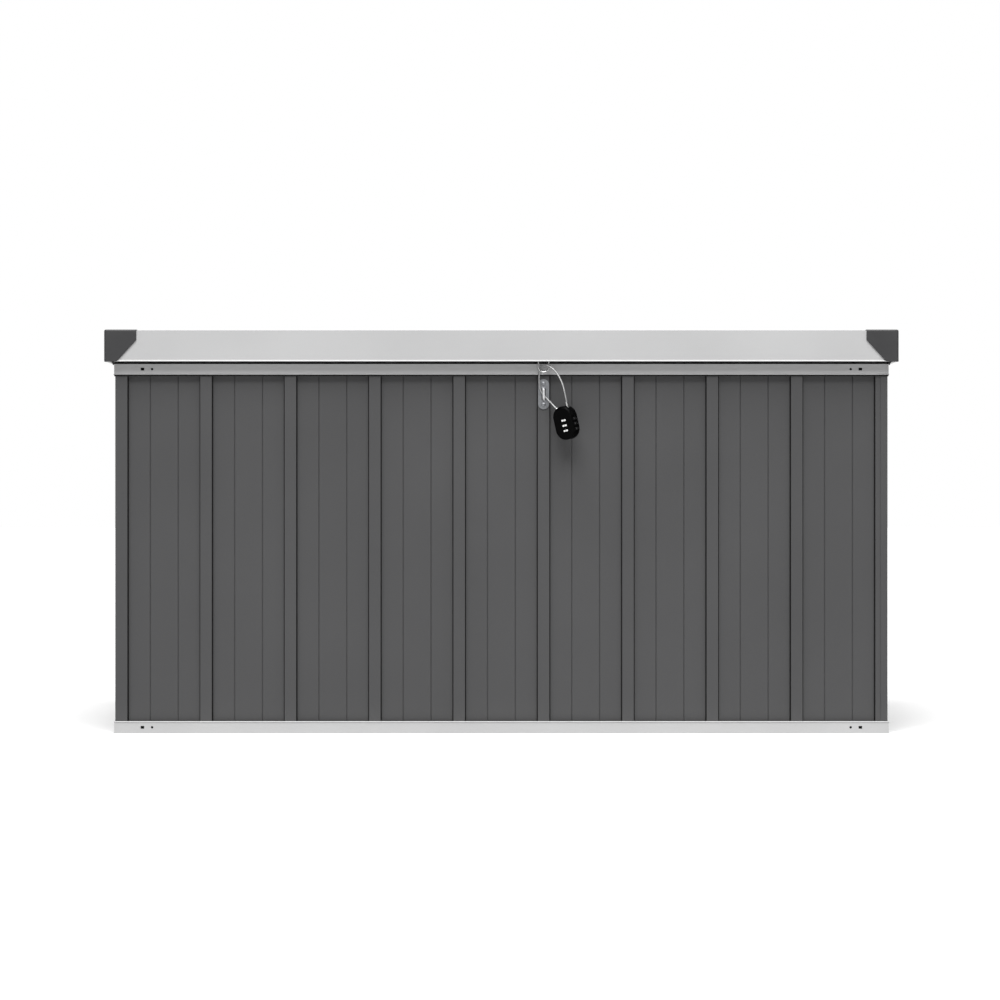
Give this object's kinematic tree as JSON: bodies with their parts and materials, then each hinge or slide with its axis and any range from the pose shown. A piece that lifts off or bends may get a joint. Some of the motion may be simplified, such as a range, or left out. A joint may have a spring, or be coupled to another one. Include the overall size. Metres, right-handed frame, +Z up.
{
  "type": "deck storage box",
  "caption": "Rectangular steel deck storage box with ribbed walls, an overhanging lift-up lid on gas struts, a hasp and a hanging combination cable lock.",
  "frame": {"origin": "on the ground, at the middle of the box", "axes": "+Z up, the front with the hasp faces -Y, +X is the box's right side seen from the front"},
  "size_m": [1.42, 0.6895, 0.723],
  "materials": {
    "silver_coating": "satin powder coat",
    "grey_coating": "satin powder coat",
    "cap_plastic": "fine texture",
    "zinc_steel": "zinc plated",
    "bright_steel": "polished",
    "rubber": "matt",
    "strut_tube": "gloss black",
    "chrome_rod": "polished",
    "lock_case": "satin",
    "dial_plastic": "satin",
    "number_plate": "gloss",
    "steel_cable": "stranded, clear coat"
  },
  "bodies": {
    "box": {"bottom_rail_front": "silver_coating", "bottom_rail_rear": "silver_coating", "bottom_rail_left": "silver_coating", "bottom_rail_right": "silver_coating", "top_rail_front": "silver_coating", "top_rail_rear": "silver_coating", "top_rail_left": "silver_coating", "top_rail_right": "silver_coating", "front_panel": "grey_coating", "rear_panel": "grey_coating", "left_panel": "grey_coating", "right_panel": "grey_coating", "corner_brackets": "zinc_steel", "bracket_screws": "zinc_steel", "floor_panel": "zinc_steel", "floor_bearers": "zinc_steel", "hinge_leaf_base_left": "zinc_steel", "hinge_leaf_base_right": "zinc_steel", "hinge_screws_base": "zinc_steel", "hinge_pin_left": "zinc_steel", "hinge_pin_right": "zinc_steel", "strut_bracket_base_left": "zinc_steel", "strut_bracket_base_right": "zinc_steel", "hasp_plate": "zinc_steel", "hasp_rivets": "zinc_steel", "lid_seal": "rubber", "wall_seal": "rubber"},
    "lid": {"lid_top_panel": "grey_coating", "lid_rim_front": "silver_coating", "lid_rim_rear": "silver_coating", "lid_rim_left": "silver_coating", "lid_rim_right": "silver_coating", "corner_cap_front_left": "cap_plastic", "corner_cap_front_right": "cap_plastic", "corner_cap_rear_left": "cap_plastic", "corner_cap_rear_right": "cap_plastic", "lid_stiffeners": "silver_coating", "lid_bumpers": "rubber", "hinge_leaf_lid_left": "zinc_steel", "hinge_leaf_lid_right": "zinc_steel", "hinge_screws_lid": "zinc_steel", "strut_bracket_lid_left": "zinc_steel", "strut_bracket_lid_right": "zinc_steel", "hasp_loop": "bright_steel", "loop_nuts": "bright_steel"},
    "strut_tube_left": {"strut_cylinder_left": "strut_tube"},
    "strut_tube_right": {"strut_cylinder_right": "strut_tube"},
    "strut_rod_left": {"strut_rod_left": "chrome_rod"},
    "strut_rod_right": {"strut_rod_right": "chrome_rod"},
    "lock": {"lock_front_shell": "lock_case", "lock_rear_shell": "lock_case", "dial_axle": "bright_steel", "number_windows": "number_plate", "fixed_ferrule": "bright_steel", "lock_cable": "steel_cable"},
    "dial_top": {"dial_top": "dial_plastic"},
    "dial_middle": {"dial_middle": "dial_plastic"},
    "dial_bottom": {"dial_bottom": "dial_plastic"},
    "release_button": {"release_button": "lock_case"},
    "cable_plug": {"cable_plug": "bright_steel"}
  },
  "joints": [
    {"name": "lid_hinge", "type": "hinge", "parent": "box", "child": "lid", "pos_m": [0, 0.32, 0.66], "axis": [-1, 0, 0], "range_deg": [0, 75], "deforming": ["lock_cable"]},
    {"name": "strut_tube_left_pivot", "type": "hinge", "parent": "box", "child": "strut_tube_left", "pos_m": [-0.65, 0.2258, 0.37517], "axis": [-1, 0, 0], "range_deg": [-1, 39]},
    {"name": "strut_rod_left_pivot", "type": "hinge", "parent": "lid", "child": "strut_rod_left", "pos_m": [-0.65, 0.02024, 0.67204], "axis": [-1, 0, 0], "range_deg": [-39, 1]},
    {"name": "strut_tube_right_pivot", "type": "hinge", "parent": "box", "child": "strut_tube_right", "pos_m": [0.65, 0.2258, 0.37517], "axis": [-1, 0, 0], "range_deg": [-1, 39]},
    {"name": "strut_rod_right_pivot", "type": "hinge", "parent": "lid", "child": "strut_rod_right", "pos_m": [0.65, 0.02024, 0.67204], "axis": [-1, 0, 0], "range_deg": [-39, 1]},
    {"name": "lock_swing", "type": "hinge", "parent": "box", "child": "lock", "pos_m": [0.11595, -0.3375, 0.623], "axis": [0, 1, 0], "range_deg": [-8, 8], "deforming": ["lock_cable"]},
    {"name": "dial_top_turn", "type": "hinge", "parent": "lock", "child": "dial_top", "pos_m": [0.12471, -0.34248, 0.55363], "axis": [-0.2164, 0, 0.9763], "continuous": true},
    {"name": "dial_middle_turn", "type": "hinge", "parent": "lock", "child": "dial_middle", "pos_m": [0.12471, -0.34248, 0.55363], "axis": [-0.2164, 0, 0.9763], "continuous": true},
    {"name": "dial_bottom_turn", "type": "hinge", "parent": "lock", "child": "dial_bottom", "pos_m": [0.12471, -0.34248, 0.55363], "axis": [-0.2164, 0, 0.9763], "continuous": true},
    {"name": "release_button_press", "type": "slide", "parent": "lock", "child": "release_button", "axis": [0.8279, -0.5299, 0.1836], "range_m": [0, 0.0016], "stiffness_N_per_m": 150},
    {"name": "cable_plug_pull", "type": "slide", "parent": "lock", "child": "cable_plug", "axis": [-0.2164, 0, 0.9763], "range_m": [0, 0.012], "deforming": ["lock_cable"]}
  ],
  "couplings": [
    {"joint": "strut_tube_left_pivot", "follows": "lid_hinge", "ratio": 0.5},
    {"joint": "strut_rod_left_pivot", "follows": "lid_hinge", "ratio": -0.5},
    {"joint": "strut_tube_right_pivot", "follows": "lid_hinge", "ratio": 0.5},
    {"joint": "strut_rod_right_pivot", "follows": "lid_hinge", "ratio": -0.5}
  ]
}
